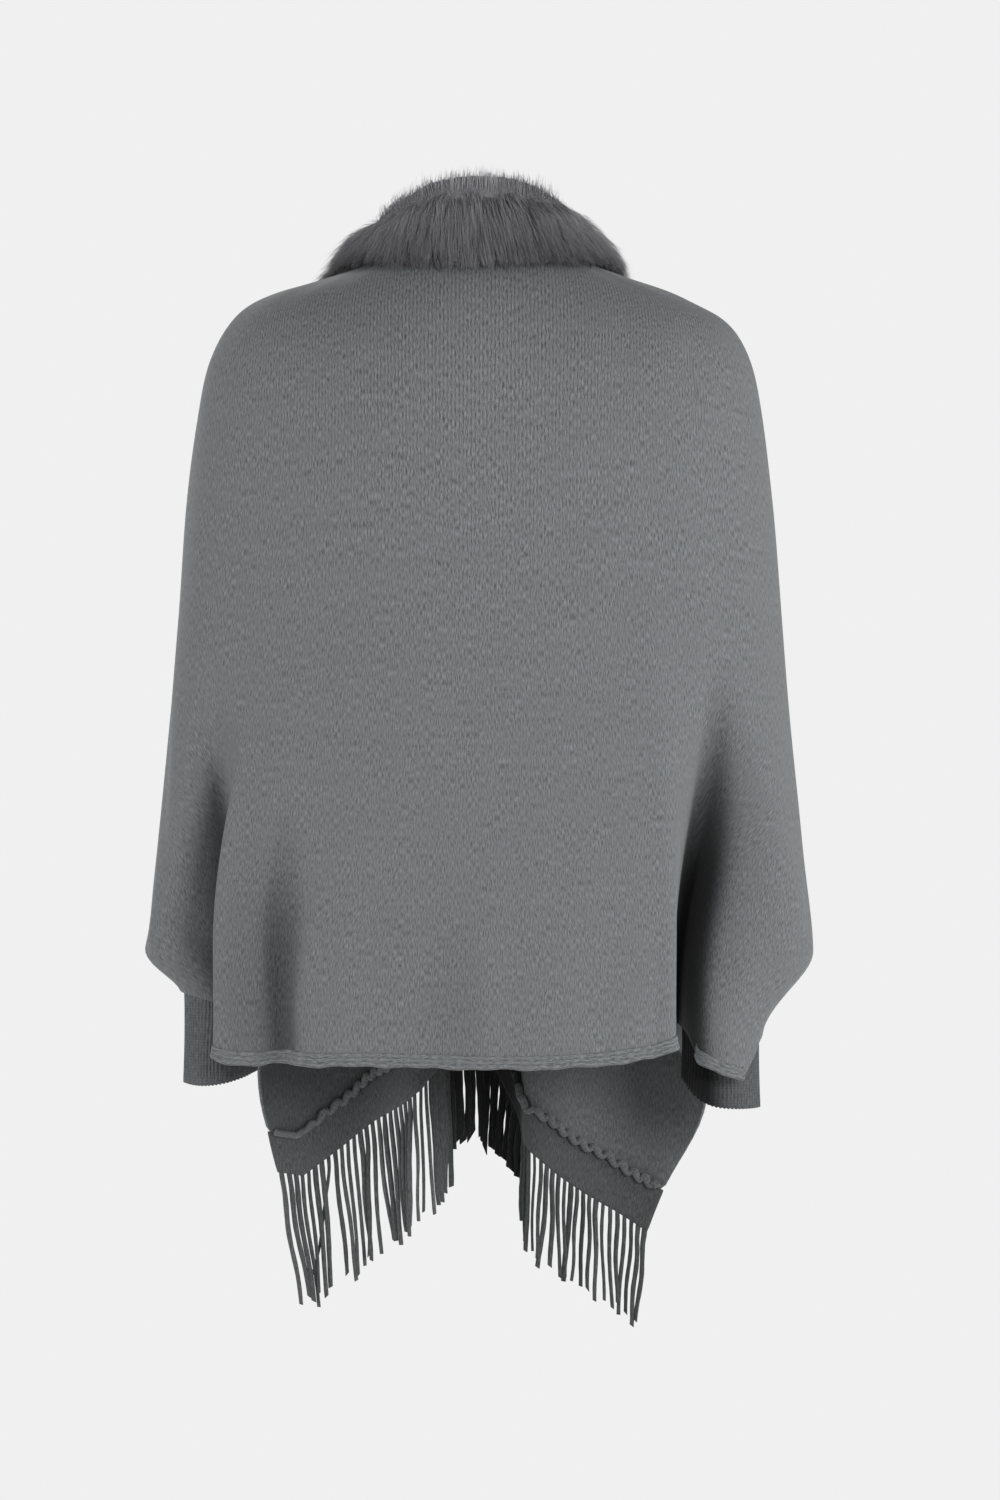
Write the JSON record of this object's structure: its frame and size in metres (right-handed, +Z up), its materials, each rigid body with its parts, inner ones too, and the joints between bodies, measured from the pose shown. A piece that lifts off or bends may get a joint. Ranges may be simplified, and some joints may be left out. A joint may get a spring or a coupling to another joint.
{
  "type": "knitted poncho sweater",
  "caption": "Open-fronted knitted poncho sweater with a fur shawl collar, wide sleeves in ribbed cuffs, a rolled back hem and fringed pointed fronts.",
  "frame": {"origin": "middle of the neck opening, where the wearer's neck and shoulders hold the garment up", "axes": "+Z up, the wearer faces -Y so the back panel is at +Y, +X towards the wearer's left"},
  "size_m": [0.5144, 0.3233, 0.9136],
  "materials": {
    "knit": "matte fine-gauge grey melange knit",
    "rib": "matte ribbed grey knit",
    "fringe_knit": "matte grey knit, cut in flat strands",
    "fur": "soft long-pile grey faux fur"
  },
  "bodies": {
    "root": {"back_panel": "knit", "front_left": "knit", "front_right": "knit", "back_hem": "knit", "sleeve_hem": "knit", "cuff_left": "rib", "cuff_right": "rib", "collar": "fur", "band_left": "fringe_knit", "band_right": "fringe_knit", "braid_left": "knit", "braid_right": "knit", "fringe_left": "fringe_knit", "fringe_right": "fringe_knit"}
  },
  "joints": []
}
